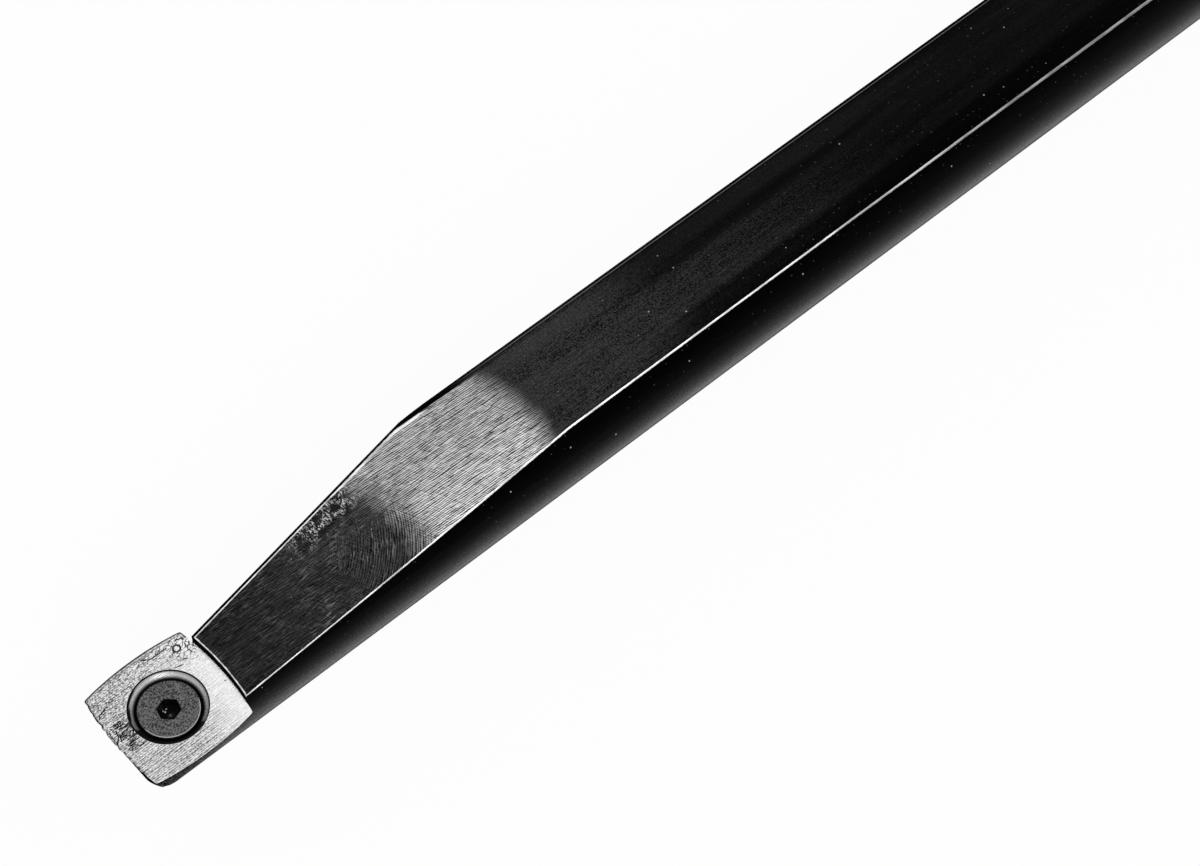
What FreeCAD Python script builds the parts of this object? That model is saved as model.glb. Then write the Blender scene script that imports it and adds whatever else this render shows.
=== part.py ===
# Carbide woodturning tool: a round steel bar with a milled flat, a square cutter
# screwed down on a step at its nose, a ferrule and a turned wooden handle.
import FreeCAD
import Part
import os
import Sketcher
from FreeCAD import Vector

document = FreeCAD.newDocument("WoodturningTool")

# Every piece is drawn about the bar's axis, with X towards the handle, Y to the tool's
# left and Z up through the flat. X is zero at the middle of the cutter.

# Driving sizes, in millimetres and degrees
drivingSizes = {
    "cutMargin": 2.0,            # how far a cut reaches past the stock
    # bar
    "barDiameter": 19.05,        # three-quarter inch round stock
    "barLength": 304.8,
    "flatHeight": 6.63,          # bar axis to the milled flat
    "flatEnd": 178.0,
    "runoutAngle": 20.0,         # slope at the flat's end, back up to the round bar
    "rampStart": 58.5,
    "rampAngle": 3.05,           # fall of the nose's top towards the cutter
    "sideReliefAngle": 9.27,     # left side of the nose, seen from above
    "sideReliefOffset": 0.5,     # bar axis to that side, at the middle of the cutter
    "frontReliefAngle": 38.0,    # undercut below the cutter's front edge
    "frontLand": 0.1,
    "noseCorner": 1.6,           # rounding of the nose's right front corner, from above
    "edgeRound": 0.2,
    "barEndChamfer": 1.0,
    # cutter
    "cutterSide": 14.0,
    "cutterBulge": 0.65,         # each edge bows out by this much at its middle
    "cutterCorner": 0.35,
    "cutterThickness": 2.5,
    "cutterRelief": 25.0,
    "cutterTop": 2.9,            # bar axis to the cutter's top face
    "cutterOffset": 3.47,        # bar axis to the cutter's middle, towards the right
    "cutterHole": 5.0,
    "sinkDiameter": 9.68,
    "sinkAngle": 90.0,
    "frontOverhang": 0.65,       # cutter in front of the bar's nose
    "wallClearance": 0.15,
    # screw
    "screwDiameter": 4.0,
    "screwLength": 8.0,
    "screwTipChamfer": 0.5,
    "headDiameter": 7.64,
    "headDrop": 0.59,            # head's top below the cutter's top
    "headEdgeBreak": 0.12,
    "socketAcross": 2.5,
    "socketDepth": 1.7,
    "socketTurn": 17.0,
    "threadClearance": 0.03,
    "coneClearance": 0.02,
    "mouthClearance": 0.35,      # round the screw's cone, where it enters the bar
    # ferrule
    "ferruleStart": 214.0,
    "ferruleLength": 28.0,
    "ferruleDiameter": 30.0,
    "ferruleWall": 1.5,
    "ferruleCap": 2.5,
    "ferruleChamfer": 1.2,
    "ferruleClearance": 0.05,
    "barClearance": 0.05,
    # handle
    "neckDiameter": 31.0,
    "bellyDiameter": 36.0,
    "bellyAt": 75.0,
    "waistDiameter": 28.0,
    "waistFromEnd": 98.0,
    "swellDiameter": 34.0,
    "swellFromEnd": 24.0,
    "gripLength": 276.0,
    "buttRound": 11.0,
    "tenonGap": 0.2,             # end of the tenon to the inside of the ferrule's cap
    "boreGap": 2.0,              # past the bar's end
}

# Places worked out from them
workedOut = {
    "barRadius": "=barDiameter / 2",
    "cutterReach": "=cutterSide / 2 + cutterBulge",
    "cutterEdgeRadius": "=((cutterSide / 2) ^ 2 + cutterBulge ^ 2) / (2 * cutterBulge)",
    "seatHeight": "=cutterTop - cutterThickness",
    "noseFront": "=frontOverhang - cutterReach",
    "barEnd": "=noseFront + barLength",
    "barEndShoulder": "=barEnd - barEndChamfer",
    "barEndRadius": "=barRadius - barEndChamfer",
    "cutFront": "=noseFront - cutMargin",
    "cutRadius": "=barRadius + cutMargin",
    "cutBottom": "=-cutRadius",
    # top of the nose and the flat
    "rampFoot": "=flatHeight - (rampStart - cutFront) * tan(rampAngle)",
    "runoutRise": "=cutRadius - flatHeight",
    "runoutEnd": "=flatEnd + runoutRise / tan(runoutAngle)",
    # left side of the nose
    "sideFrontY": "=sideReliefOffset + cutFront * tan(sideReliefAngle)",
    "sideEndX": "=(cutRadius - sideReliefOffset) / tan(sideReliefAngle)",
    # step that the cutter sits on
    "cutterY": "=-cutterOffset",
    "wallRadius": "=cutterEdgeRadius + wallClearance",
    "wallApex": "=cutterReach + wallClearance",
    "wallHalf": "=cutRadius + cutterOffset",
    "wallEndX": "=wallApex - wallRadius + sqrt(wallRadius ^ 2 - wallHalf ^ 2)",
    "wallLeftY": "=cutterY + wallHalf",
    "wallRightY": "=cutterY - wallHalf",
    # rounded front corner and undercut front
    "cornerX": "=noseFront + noseCorner",
    "cornerY": "=noseCorner - barRadius",
    "barRight": "=-barRadius",
    "reliefTop": "=seatHeight - frontLand",
    "reliefEndX": "=noseFront + (reliefTop + cutRadius) * tan(frontReliefAngle)",
    # tapped hole, drawn at the thread's outer diameter
    "holeRadius": "=screwDiameter / 2 + threadClearance",
    "sinkRadius": "=sinkDiameter / 2",
    "sinkSlope": "=tan(sinkAngle / 2)",
    "mouthRadius": "=sinkRadius - cutterThickness * sinkSlope + mouthClearance",
    "mouthFoot": "=seatHeight - (mouthRadius - holeRadius) / sinkSlope",
    # cutter
    "cutterHalf": "=cutterSide / 2",
    "cutterHalfMinus": "=-cutterHalf",
    "cutterHoleRadius": "=cutterHole / 2",
    "sinkFoot": "=cutterThickness - (sinkRadius - cutterHoleRadius) / sinkSlope",
    "cutterOver": "=cutterThickness + cutMargin",
    "cutterUnder": "=-cutMargin",
    # screw, measured down from the top of its head
    "screwTop": "=cutterTop - headDrop",
    "screwRadius": "=screwDiameter / 2",
    "headRadius": "=headDiameter / 2",
    "headFace": "=headRadius - headEdgeBreak",
    "headEdge": "=-headEdgeBreak",
    "headLand": "=headDrop - (sinkRadius - coneClearance - headRadius) / sinkSlope",
    "coneEnd": "=headDrop - (sinkRadius - coneClearance - screwRadius) / sinkSlope",
    "screwEnd": "=-screwLength",
    "screwTipStart": "=screwTipChamfer - screwLength",
    "screwTipRadius": "=screwRadius - screwTipChamfer",
    "socketCorner": "=socketAcross / 2 / cos(30)",
    # ferrule
    "ferruleEnd": "=ferruleStart + ferruleLength",
    "ferruleRadius": "=ferruleDiameter / 2",
    "ferruleInside": "=ferruleRadius - ferruleWall",
    "ferruleBore": "=barRadius + barClearance",
    "ferruleCapEnd": "=ferruleStart + ferruleCap",
    "ferruleShoulder": "=ferruleStart + ferruleChamfer",
    "ferruleFaceRadius": "=ferruleRadius - ferruleChamfer",
    # handle
    "tenonStart": "=ferruleCapEnd + tenonGap",
    "tenonRadius": "=ferruleInside - ferruleClearance",
    "handleBoreEnd": "=barEnd + boreGap",
    "neckX": "=ferruleEnd",
    "handleEnd": "=neckX + gripLength",
    "neckRadius": "=neckDiameter / 2",
    "bellyX": "=neckX + bellyAt",
    "bellyRadius": "=bellyDiameter / 2",
    "waistX": "=handleEnd - waistFromEnd",
    "waistRadius": "=waistDiameter / 2",
    "swellX": "=handleEnd - swellFromEnd",
    "swellRadius": "=swellDiameter / 2",
    "buttStart": "=handleEnd - buttRound",
    "buttFace": "=swellRadius - buttRound",
    # the whole tool, set down with its origin at the bottom centre of its box
    "frameShift": "=(cutterReach - handleEnd) / 2",
    "frameLift": "=bellyRadius",
    "screwLift": "=frameLift + screwTop",
    "seatLift": "=frameLift + seatHeight",
}

# The handle's outline runs from one station to the next in two arcs that meet half-way,
# each level at its station: radius = (length squared + rise squared) / (4 rise).
stations = ["neck", "belly", "waist", "swell"]
for nearer, further in zip(stations, stations[1:]):
    length = f"({further}X - {nearer}X)"
    rise = f"abs({further}Radius - {nearer}Radius)"
    workedOut[f"{nearer}MidX"] = f"=({nearer}X + {further}X) / 2"
    workedOut[f"{nearer}MidRadius"] = f"=({nearer}Radius + {further}Radius) / 2"
    workedOut[f"{nearer}Curve"] = f"=({length} ^ 2 + {rise} ^ 2) / (4 * {rise})"

sheet = document.addObject("Spreadsheet::Sheet", "Sizes")
for row, (alias, content) in enumerate({**drivingSizes, **workedOut}.items(), start=1):
    sheet.set(f"A{row}", alias)
    sheet.set(f"B{row}", str(content))
    sheet.setAlias(f"B{row}", alias)
document.recompute()


def size(alias):
    return float(getattr(sheet, alias))


# Drawing helpers

def newSketch(body, name, planeRole, height=None):
    """A sketch on one of the body's origin planes, lifted by the named size."""
    sketch = body.newObject("Sketcher::SketchObject", name)
    plane = [face for face in body.Origin.OriginFeatures if face.Role == planeRole][0]
    sketch.AttachmentSupport = (plane, [""])
    sketch.MapMode = "FlatFace"
    if height:
        sketch.setExpression("AttachmentOffset.Base.z", f"Sizes.{height}")
    return sketch


def hold(sketch, kind, *place):
    """Adds a dimension whose last argument is the name of its size."""
    index = sketch.addConstraint(Sketcher.Constraint(kind, *place[:-1], size(place[-1])))
    sketch.setExpression(f"Constraints[{index}]", f"Sizes.{place[-1]}")


def arcBetween(start, end, radius, side):
    """The short arc from start to end, bulging left (1) or right (-1) of that direction."""
    chord = end - start
    middle = (start + end) / 2
    outward = Vector(-chord.y, chord.x, 0).normalize() * side
    sagitta = radius - (radius ** 2 - chord.Length ** 2 / 4) ** 0.5
    return Part.ArcOfCircle(start, middle + outward * sagitta, end)


def drawOutline(sketch, corners):
    """A closed outline. A corner is (x size, y size), with None for zero, and the
    edge after it is an arc where (radius size, side) follows."""
    origin, xAxis, yAxis = (-1, 1), -1, -2
    points = [Vector(size(c[0]) if c[0] else 0, size(c[1]) if c[1] else 0, 0) for c in corners]
    edges = []
    for corner, start, end in zip(corners, points, points[1:] + points[:1]):
        if len(corner) == 2:
            edges.append((sketch.addGeometry(Part.LineSegment(start, end), False), 1, 2))
            continue
        radius, side = corner[2:]
        number = sketch.addGeometry(arcBetween(start, end, size(radius), side), False)
        # An arc runs anticlockwise, so one that bulges left starts at the far corner.
        edges.append((number, 2, 1) if side > 0 else (number, 1, 2))
    for index, (corner, (edge, first, _)) in enumerate(zip(corners, edges)):
        before, _, last = edges[index - 1]
        sketch.addConstraint(Sketcher.Constraint("Coincident", before, last, edge, first))
        for kind, alias, axis in (("DistanceX", corner[0], yAxis), ("DistanceY", corner[1], xAxis)):
            if alias:
                hold(sketch, kind, *origin, edge, first, alias)
            else:
                sketch.addConstraint(Sketcher.Constraint("PointOnObject", edge, first, axis))
        if len(corner) > 2:
            hold(sketch, "Radius", edge, corner[2])


def turned(body, name, kind, corners, axis, height=None):
    """A Revolution or Groove of an outline on the XZ plane or a height to its right."""
    sketch = newSketch(body, name + "Outline", "XZ_Plane", height)
    drawOutline(sketch, corners)
    feature = body.newObject("PartDesign::" + kind, name)
    feature.Profile = sketch
    feature.ReferenceAxis = (sketch, [axis])
    feature.Angle = 360
    document.recompute()
    return feature


def milled(body, name, planeRole, corners, height=None, upward=False):
    """A Pocket through everything: both ways from its plane, or up from a height."""
    sketch = newSketch(body, name + "Outline", planeRole, height)
    drawOutline(sketch, corners)
    feature = body.newObject("PartDesign::Pocket", name)
    feature.Profile = sketch
    feature.Type = "ThroughAll"
    if upward:
        feature.Reversed = True
    else:
        feature.SideType = "Symmetric"
    document.recompute()
    return feature


def newBody(label, xSize=None, ySize=None, zSize=None):
    """A piece of its own, moved from the bar's axis to the places named."""
    body = document.addObject("PartDesign::Body", label)
    body.Label = label
    for axis, alias in zip("xyz", (xSize, ySize, zSize)):
        if alias:
            body.setExpression(f"Placement.Base.{axis}", f"Sizes.{alias}")
    return body


def edgeNames(shape, wanted):
    return [f"Edge{n}" for n, edge in enumerate(shape.Edges, start=1) if wanted(edge)]


# Bar: turned stock, then its flat, nose and seat are milled

def makeToolBar():
    bar = newBody("tool_bar", "frameShift", None, "frameLift")
    turned(bar, "Stock", "Revolution", [
        ("noseFront", None),
        ("barEnd", None),
        ("barEnd", "barEndRadius"),
        ("barEndShoulder", "barRadius"),
        ("noseFront", "barRadius"),
    ], "H_Axis")
    milled(bar, "TopFlat", "XZ_Plane", [
        ("cutFront", "rampFoot"),
        ("rampStart", "flatHeight"),
        ("flatEnd", "flatHeight"),
        ("runoutEnd", "cutRadius"),
        ("cutFront", "cutRadius"),
    ])
    milled(bar, "SideRelief", "XY_Plane", [
        ("cutFront", "sideFrontY"),
        ("sideEndX", "cutRadius"),
        ("cutFront", "cutRadius"),
    ])
    milled(bar, "CutterSeat", "XY_Plane", [
        ("cutFront", "wallRightY"),
        ("wallEndX", "wallRightY", "wallRadius", -1),
        ("wallEndX", "wallLeftY"),
        ("cutFront", "wallLeftY"),
    ], height="seatHeight", upward=True)
    milled(bar, "FrontRelief", "XZ_Plane", [
        ("noseFront", "reliefTop"),
        ("reliefEndX", "cutBottom"),
        ("cutFront", "cutBottom"),
        ("cutFront", "reliefTop"),
    ])
    milled(bar, "NoseCorner", "XY_Plane", [
        ("noseFront", "cornerY", "noseCorner", -1),
        ("cornerX", "barRight"),
        ("cornerX", "cutBottom"),
        ("cutFront", "cutBottom"),
        ("cutFront", "cornerY"),
    ])
    hole = turned(bar, "TappedHole", "Groove", [
        (None, "cutBottom"),
        ("holeRadius", "cutBottom"),
        ("holeRadius", "mouthFoot"),
        ("mouthRadius", "seatHeight"),
        ("mouthRadius", "cutRadius"),
        (None, "cutRadius"),
    ], "V_Axis", height="cutterOffset")

    # The sharp edges round the flat and the ramp are rubbed round, apart from the bend
    # between the two and the slope at the flat's end.
    def isOnTop(point):
        ramp = size("rampStart") - point.x
        drop = max(ramp, 0) * (size("flatHeight") - size("rampFoot"))
        drop /= size("rampStart") - size("cutFront")
        return abs(point.z - size("flatHeight") + drop) < 1e-3

    def isTopEdge(edge):
        first, last = edge.FirstParameter, edge.LastParameter
        points = [edge.valueAt(first + (last - first) * part) for part in (0, 0.5, 1)]
        along = abs(points[2].x - points[0].x) > 0.01 or points[1].x < size("wallApex") + 1e-3
        return along and all(isOnTop(point) for point in points)

    rounds = bar.newObject("PartDesign::Fillet", "EdgeRounds")
    rounds.Base = (hole, edgeNames(hole.Shape, isTopEdge))
    rounds.setExpression("Radius", "Sizes.edgeRound")
    document.recompute()
    return bar


# Cutter: four bowed edges, relieved all round, with a countersunk hole

def makeCarbideInsert():
    cutter = newBody("carbide_insert", "frameShift", "cutterY", "seatLift")
    outline = newSketch(cutter, "CutterOutline", "XY_Plane", "cutterThickness")
    drawOutline(outline, [
        ("cutterHalf", "cutterHalfMinus", "cutterEdgeRadius", -1),
        ("cutterHalf", "cutterHalf", "cutterEdgeRadius", -1),
        ("cutterHalfMinus", "cutterHalf", "cutterEdgeRadius", -1),
        ("cutterHalfMinus", "cutterHalfMinus", "cutterEdgeRadius", -1),
    ])
    blank = cutter.newObject("PartDesign::Pad", "Blank")
    blank.Profile = outline
    blank.Reversed = True
    blank.setExpression("Length", "Sizes.cutterThickness")
    blank.setExpression("TaperAngle", "-Sizes.cutterRelief")
    document.recompute()

    corners = cutter.newObject("PartDesign::Fillet", "Corners")
    corners.Base = (blank, edgeNames(
        blank.Shape, lambda edge: edge.BoundBox.ZLength > size("cutterThickness") / 2))
    corners.setExpression("Radius", "Sizes.cutterCorner")
    document.recompute()

    turned(cutter, "ScrewSink", "Groove", [
        (None, "cutterUnder"),
        ("cutterHoleRadius", "cutterUnder"),
        ("cutterHoleRadius", "sinkFoot"),
        ("sinkRadius", "cutterThickness"),
        ("sinkRadius", "cutterOver"),
        (None, "cutterOver"),
    ], "V_Axis")
    return cutter


# Screw: flat countersunk head with a hexagon socket

def makeClampScrew():
    screw = newBody("clamp_screw", "frameShift", "cutterY", "screwLift")
    turned(screw, "ScrewBlank", "Revolution", [
        (None, None),
        ("headFace", None),
        ("headRadius", "headEdge"),
        ("headRadius", "headLand"),
        ("screwRadius", "coneEnd"),
        ("screwRadius", "screwTipStart"),
        ("screwTipRadius", "screwEnd"),
        (None, "screwEnd"),
    ], "V_Axis")
    socket = screw.newObject("PartDesign::SubtractivePrism", "Socket")
    socket.Polygon = 6
    socket.setExpression("Circumradius", "Sizes.socketCorner")
    socket.setExpression("Height", "Sizes.socketDepth")
    socket.setExpression("Placement.Base.z", "-Sizes.socketDepth")
    socket.setExpression("Placement.Rotation.Angle", "Sizes.socketTurn")
    document.recompute()
    return screw


# Ferrule: a turned cap with the bar through its face

def makeFerrule():
    ferrule = newBody("ferrule", "frameShift", None, "frameLift")
    turned(ferrule, "FerruleCap", "Revolution", [
        ("ferruleStart", "ferruleBore"),
        ("ferruleCapEnd", "ferruleBore"),
        ("ferruleCapEnd", "ferruleInside"),
        ("ferruleEnd", "ferruleInside"),
        ("ferruleEnd", "ferruleRadius"),
        ("ferruleShoulder", "ferruleRadius"),
        ("ferruleStart", "ferruleFaceRadius"),
    ], "H_Axis")
    return ferrule


# Handle: a turned grip with a tenon in the ferrule and a blind bore for the bar

def makeHandle():
    handle = newBody("handle", "frameShift", None, "frameLift")
    grip = []
    for nearer, further in zip(stations, stations[1:]):
        rising = 1 if size(f"{further}Radius") > size(f"{nearer}Radius") else -1
        curve = f"{nearer}Curve"
        grip.append((f"{nearer}X", f"{nearer}Radius", curve, -rising))
        grip.append((f"{nearer}MidX", f"{nearer}MidRadius", curve, rising))
    turned(handle, "Grip", "Revolution", [
        ("handleBoreEnd", None),
        ("handleBoreEnd", "ferruleBore"),
        ("tenonStart", "ferruleBore"),
        ("tenonStart", "tenonRadius"),
        ("neckX", "tenonRadius"),
        *grip,
        ("swellX", "swellRadius"),
        ("buttStart", "swellRadius", "buttRound", 1),
        ("handleEnd", "buttFace"),
        ("handleEnd", None),
    ], "H_Axis")
    return handle


pieces = [makeToolBar(), makeCarbideInsert(), makeClampScrew(), makeFerrule(), makeHandle()]
document.recompute()

for item in document.Objects:
    if "Invalid" in item.State or "Error" in item.State:
        raise RuntimeError(f"{item.Label} could not be made: {item.State}")
for piece in pieces:
    if piece.Shape.isNull() or not piece.Shape.isValid():
        raise RuntimeError(f"{piece.Label} is not a valid solid")

os.makedirs("parts", exist_ok=True)
for piece in pieces:
    piece.Shape.exportStep(f"parts/{piece.Label}.step")
    box = piece.Shape.BoundBox
    print(f"{piece.Label}: {len(piece.Shape.Solids)} solid, {piece.Shape.Volume:.1f} mm3,",
          f"X {box.XMin:.2f} to {box.XMax:.2f}, Y {box.YMin:.2f} to {box.YMax:.2f},",
          f"Z {box.ZMin:.2f} to {box.ZMax:.2f}")
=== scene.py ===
# Carbide woodturning tool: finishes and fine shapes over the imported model.
import math

import bpy
import numpy as np
from mathutils import Matrix, Vector


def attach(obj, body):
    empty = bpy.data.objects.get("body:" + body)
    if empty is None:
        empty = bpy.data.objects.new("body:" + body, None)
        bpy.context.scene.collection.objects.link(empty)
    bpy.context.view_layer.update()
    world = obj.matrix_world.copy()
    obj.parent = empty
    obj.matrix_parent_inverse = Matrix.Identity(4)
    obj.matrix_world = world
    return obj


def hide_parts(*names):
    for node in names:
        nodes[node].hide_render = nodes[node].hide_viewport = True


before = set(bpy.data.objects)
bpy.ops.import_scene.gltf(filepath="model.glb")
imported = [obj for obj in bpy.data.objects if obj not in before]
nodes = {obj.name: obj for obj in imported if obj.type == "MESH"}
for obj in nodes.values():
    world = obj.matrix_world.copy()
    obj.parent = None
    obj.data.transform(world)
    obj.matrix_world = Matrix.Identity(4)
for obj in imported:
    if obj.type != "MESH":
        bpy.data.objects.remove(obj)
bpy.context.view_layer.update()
mm = 0.001

# Every pattern and every new surface is worked out in millimetres about the bar's axis,
# with x = 0 at the middle of the cutter, as the part itself is drawn.
toolPlace = {"axisX": -255.175, "axisZ": 18.0}

print("node helpers")


def feed(socket, value):
    # a socket is linked and a number or colour is set
    if isinstance(value, bpy.types.NodeSocket):
        socket.id_data.links.new(value, socket)
    else:
        socket.default_value = value


def treeOf(values):
    # the node tree of those values that are sockets and not plain numbers
    return next(value.id_data for value in values if isinstance(value, bpy.types.NodeSocket))


def addNode(tree, kind, inputs=None, **settings):
    node = tree.nodes.new("ShaderNode" + kind)
    for name, value in settings.items():
        setattr(node, name, value)
    for name, value in (inputs or {}).items():
        feed(node.inputs[name], value)
    return node


def calc(operation, *values, clamp=False):
    node = addNode(treeOf(values), "Math", operation=operation, use_clamp=clamp)
    for socket, value in zip(node.inputs, values):
        feed(socket, value)
    return node.outputs[0]


def times(first, *others):
    # the product of all the values
    for value in others:
        first = calc("MULTIPLY", first, value)
    return first


def scaled(value, factor, added):
    # value * factor + added
    return calc("MULTIPLY_ADD", value, factor, added)


def minus(first, second):
    return calc("SUBTRACT", first, second)


def largest(first, *others):
    for value in others:
        first = calc("MAXIMUM", first, value)
    return first


def fade(value, low, high, start=0.0, end=1.0):
    # start below low, end above high, and a smooth S between them
    node = addNode(value.id_data, "MapRange", {
        "Value": value, "From Min": low, "From Max": high, "To Min": start, "To Max": end,
    }, interpolation_type="SMOOTHSTEP")
    return node.outputs["Result"]


def fall(value, low, high):
    # 1 below low and 0 above high
    return fade(value, low, high, 1.0, 0.0)


def band(value, low, full, last, end):
    # up from 0 between low and full, and down again between last and end
    return times(fade(value, low, full), fall(value, last, end))


def blend(factor, first, second):
    # a colour: first where the factor is 0, second where it is 1
    node = addNode(treeOf((factor, first, second)), "Mix", data_type="RGBA")
    for socket, value in zip((node.inputs[0], node.inputs[6], node.inputs[7]), (factor, first, second)):
        feed(socket, value)
    return node.outputs[2]


def between(factor, first, second):
    # the same for numbers
    node = addNode(treeOf((factor, first, second)), "Mix", data_type="FLOAT")
    for socket, value in zip((node.inputs[0], node.inputs[2], node.inputs[3]), (factor, first, second)):
        feed(socket, value)
    return node.outputs[0]


def vector(x, y, z):
    return addNode(treeOf((x, y, z)), "CombineXYZ", {"X": x, "Y": y, "Z": z}).outputs[0]


def split(place):
    return addNode(place.id_data, "SeparateXYZ", {"Vector": place}).outputs


def lengthOf(place):
    return addNode(place.id_data, "VectorMath", {0: place}, operation="LENGTH").outputs["Value"]


def stretched(place, scale, turn=0.0, shift=(0.0, 0.0, 0.0)):
    return addNode(place.id_data, "Mapping", {
        "Vector": place, "Scale": scale, "Rotation": (0.0, 0.0, turn), "Location": shift}).outputs[0]


def noise(place, scale=1.0, detail=2.0, roughness=0.5, distortion=0.0):
    # the scale is one number, or three for a pattern that is drawn out
    if isinstance(scale, tuple):
        place, scale = stretched(place, scale), 1.0
    return addNode(place.id_data, "TexNoise", {
        "Vector": place, "Scale": scale, "Detail": detail,
        "Roughness": roughness, "Distortion": distortion}).outputs[0]


def bump(height, depth):
    # depth is in millimetres
    return addNode(height.id_data, "Bump", {
        "Height": height, "Distance": depth * mm, "Strength": 1.0}).outputs[0]


def grey(value):
    return (value, value, value, 1.0)


def newGroup(name, inputs, outputs):
    group = bpy.data.node_groups.new(name, "ShaderNodeTree")
    for label, kind, value in inputs:
        socket = group.interface.new_socket(label, in_out="INPUT", socket_type="NodeSocket" + kind)
        if value is not None:
            socket.default_value = value
    for label in outputs:
        group.interface.new_socket(label, in_out="OUTPUT", socket_type="NodeSocketFloat")
    given = group.nodes.new("NodeGroupInput").outputs
    result = group.nodes.new("NodeGroupOutput").inputs
    return group, given, result


def useGroup(group, inputs):
    node = treeOf(inputs.values()).nodes.new("ShaderNodeGroup")
    node.node_tree = group
    for name, value in inputs.items():
        feed(node.inputs[name], value)
    return node.outputs


def newMaterial(name, shader):
    # a material with its Principled node's plain values set on the sockets themselves
    material = bpy.data.materials.new(name)
    material.use_nodes = True
    principled = material.node_tree.nodes["Principled BSDF"]
    for label, value in shader.items():
        principled.inputs[label].default_value = value
    return material, material.node_tree, principled


def toolCoordinates(tree):
    # Object coordinates in millimetres about the bar's axis
    place = addNode(tree, "TexCoord").outputs["Object"]
    return stretched(place, (1000.0, 1000.0, 1000.0),
                     shift=(-toolPlace["axisX"], 0.0, -toolPlace["axisZ"]))


def attribute(tree, name):
    return addNode(tree, "Attribute", attribute_name=name, attribute_type="GEOMETRY").outputs["Fac"]


print("shared effects")


# Worn edges, and the painted highlights along edges of the cutter and the screw: 1 where the
# distance to an edge is under the width, which a noise makes ragged.
def makeEdgeWearAndHighlight():
    group, given, result = newGroup("edgeWearAndHighlight", [
        ("Vector", "Vector", None), ("Distance", "Float", 1.0), ("Width", "Float", 0.2),
        ("Raggedness", "Float", 0.1), ("Grain", "Float", 3.0)], ["Mask"])
    uneven = minus(noise(given["Vector"], given["Grain"], 4.0, 0.65), 0.5)
    moved = scaled(uneven, given["Raggedness"], given["Distance"])
    soft = times(given["Width"], 0.55)
    feed(result["Mask"], fall(moved, soft, given["Width"]))
    return group


# Brush marks: a sine wave across x whose phase a noise shifts, broken up by a noise drawn
# out along x, with a second such noise for the few marks that stand out.
def makeBrushMarks():
    group, given, result = newGroup("brushMarks", [
        ("Vector", "Vector", None), ("Length", "Float", 6.0),
        ("Fineness", "Float", 5.0)], ["Lines", "Scratches"])
    x, y, z = split(given["Vector"])
    along = calc("DIVIDE", x, given["Length"])
    across = times(y, given["Fineness"])
    up = times(z, given["Fineness"])
    lines = vector(along, across, up)
    fine = noise(lines, 1.0, 1.0, 0.6)
    shifted = noise(lines, (0.25, 0.3, 0.3), 1.0, 0.5)
    phase = scaled(calc("ADD", across, up), 0.5 * math.tau, times(shifted, 9.0))
    fine = scaled(fine, 0.6, 0.2)
    wave = scaled(calc("SINE", phase), 0.14, fine)
    feed(result["Lines"], fade(wave, 0.42, 0.58))
    sparse = noise(stretched(lines, (0.9, 1.2, 1.2), 0.03, (7.1, 3.3, 5.7)), 1.0, 2.0, 0.6)
    feed(result["Scratches"], fade(sparse, 0.56, 0.68))
    return group


# Dust: a disc about the point of each flat cell, kept where the cell's random colour is low.
def makeDustSpecks():
    group, given, result = newGroup("dustSpecks", [
        ("Vector", "Vector", None), ("Spacing", "Float", 3.0), ("Size", "Float", 0.08),
        ("Share", "Float", 0.3)], ["Mask"])
    scale = calc("DIVIDE", 1.0, given["Spacing"])
    cells = addNode(group, "TexVoronoi", {"Vector": given["Vector"], "Scale": scale},
                    voronoi_dimensions="2D")
    reach = times(cells.outputs["Distance"], given["Spacing"])
    luck = addNode(group, "SeparateColor", {"Color": cells.outputs["Color"]}).outputs
    size = times(given["Size"], calc("ADD", luck[1], 0.35))
    speck = fade(reach, times(size, 0.5), size, 1.0, 0.0)
    kept = calc("LESS_THAN", luck[0], given["Share"])
    feed(result["Mask"], times(speck, kept))
    return group


edgeWearAndHighlight = makeEdgeWearAndHighlight()
brushMarks = makeBrushMarks()
dustSpecks = makeDustSpecks()


def wornAndHighlitEdges(place, distance, width, raggedness, grain):
    return useGroup(edgeWearAndHighlight, {
        "Vector": place, "Distance": distance, "Width": width,
        "Raggedness": raggedness, "Grain": grain})["Mask"]


def brushed(place, length, fineness):
    return useGroup(brushMarks, {"Vector": place, "Length": length, "Fineness": fineness})


def specks(place, spacing, size, share):
    return useGroup(dustSpecks,
                    {"Vector": place, "Spacing": spacing, "Size": size, "Share": share})["Mask"]


print("surface helpers")


def toFrame(points):
    # millimetres about the bar's axis to metres in the model's frame
    return (points + np.array([toolPlace["axisX"], 0.0, toolPlace["axisZ"]])) * mm


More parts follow.
